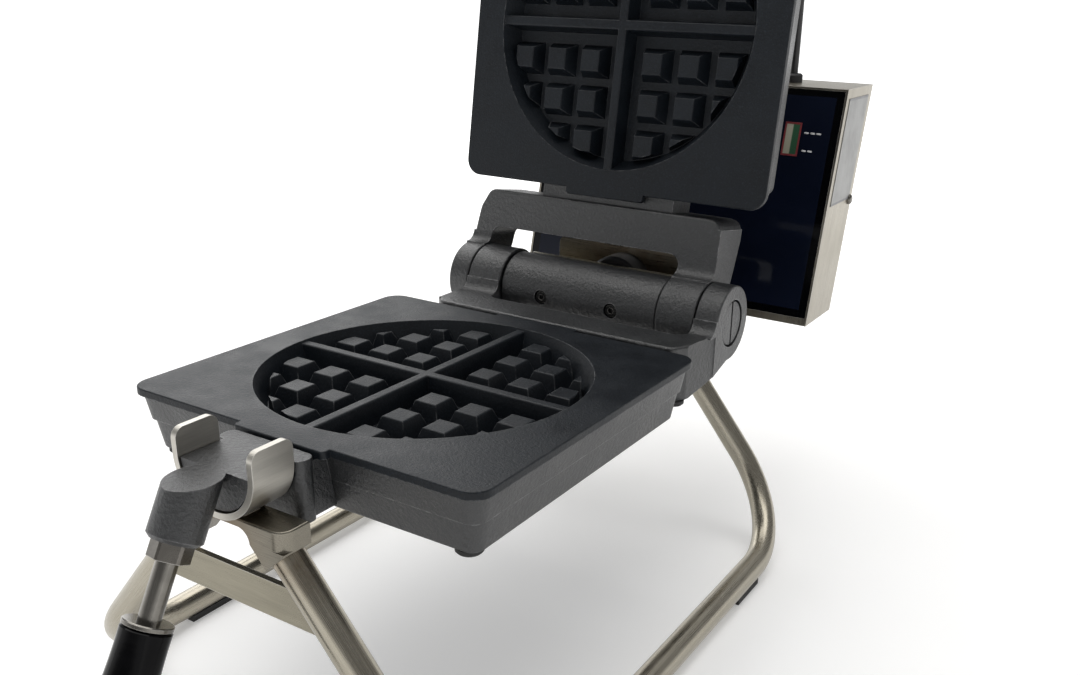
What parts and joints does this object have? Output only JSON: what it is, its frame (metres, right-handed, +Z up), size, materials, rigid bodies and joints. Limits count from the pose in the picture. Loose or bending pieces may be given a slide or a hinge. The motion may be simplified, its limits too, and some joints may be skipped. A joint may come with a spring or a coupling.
{
  "type": "waffle maker",
  "caption": "Turn-over waffle maker: two hinged cast irons with studded round recesses, black handles, a bent steel tube stand and a leaning control box.",
  "frame": {"origin": "on the floor under the centre of the outline; the irons' parting plane is 0.170 m above it", "axes": "+X to the right of someone at the handles, +Y from the handles to the control box, +Z up; the lid hinge runs along X"},
  "size_m": [0.287, 0.6273, 0.5657],
  "materials": {
    "dark_casting": "sand-cast, satin black coating",
    "baking_iron": "fine cast, oil-burnt satin",
    "stainless": "brushed",
    "raw_steel": "machined",
    "polished_steel": "polished lengthwise",
    "element_sheath": "annealed",
    "black_grip": "glossy",
    "black_plastic": "matte",
    "black_enamel": "satin enamel",
    "bronze": "turned",
    "dark_glass": "polished, dark tinted",
    "red_plastic": "satin",
    "cream_plastic": "satin",
    "silver_label": "satin foil",
    "green_board": "lacquered",
    "black_rubber": "matte",
    "black_lead": "satin",
    "mineral_fibre": "felted"
  },
  "bodies": {
    "stand": {"stand_tube_left": "stainless", "stand_tube_right": "stainless", "front_crossbar": "stainless", "rear_crossbar": "stainless", "saddle": "stainless", "front_brace": "stainless", "anti_slip_pads": "black_rubber", "bearing_housing": "black_enamel", "bearing_bush": "bronze", "bearing_plate": "stainless", "bearing_plate_bolts": "raw_steel", "wiring_duct": "stainless", "box_tray": "stainless", "box_shell": "stainless", "glass_panel": "dark_glass", "indicator_bezel": "red_plastic", "indicator_window": "cream_plastic", "back_cover": "stainless", "mains_gland": "black_plastic", "rating_label": "silver_label", "box_side_screws": "raw_steel", "circuit_board": "green_board", "board_parts": "black_plastic", "board_posts": "black_plastic", "box_lead_gland": "black_plastic", "upper_lead": "black_lead"},
    "lower_iron": {"lower_casting": "dark_casting", "lower_grid_plate": "baking_iron", "lower_bottom_cover": "dark_casting", "lower_cover_screws": "raw_steel", "lower_feet": "black_rubber", "lower_heating_element": "element_sheath", "lower_insulation_pad": "mineral_fibre", "lower_thermostat_probe": "element_sheath", "lower_handle_nut": "raw_steel", "lower_handle_rod": "polished_steel", "lower_handle_ferrule": "polished_steel", "lower_handle_grip": "black_grip", "lower_pin_end_cap": "dark_casting", "hinge_barrel": "dark_casting", "barrel_screws": "raw_steel", "hinge_pin": "polished_steel", "rear_shaft": "raw_steel", "back_plate": "stainless"},
    "upper_iron": {"upper_casting": "dark_casting", "upper_grid_plate": "baking_iron", "upper_bottom_cover": "dark_casting", "upper_cover_screws": "raw_steel", "upper_feet": "black_rubber", "upper_heating_element": "element_sheath", "upper_insulation_pad": "mineral_fibre", "upper_thermostat_probe": "element_sheath", "upper_handle_nut": "raw_steel", "upper_handle_rod": "polished_steel", "upper_handle_ferrule": "polished_steel", "upper_handle_grip": "black_grip", "upper_pin_end_cap": "dark_casting", "upper_lead_gland": "black_plastic"}
  },
  "joints": [
    {"name": "turn", "type": "hinge", "parent": "stand", "child": "lower_iron", "pos_m": [0, 0.15, 0.17], "axis": [0, 1, 0], "range_deg": [0, 70]},
    {"name": "lid", "type": "hinge", "parent": "lower_iron", "child": "upper_iron", "pos_m": [0, 0.1076, 0.17], "axis": [1, 0, 0], "range_deg": [0, 98.9]}
  ]
}
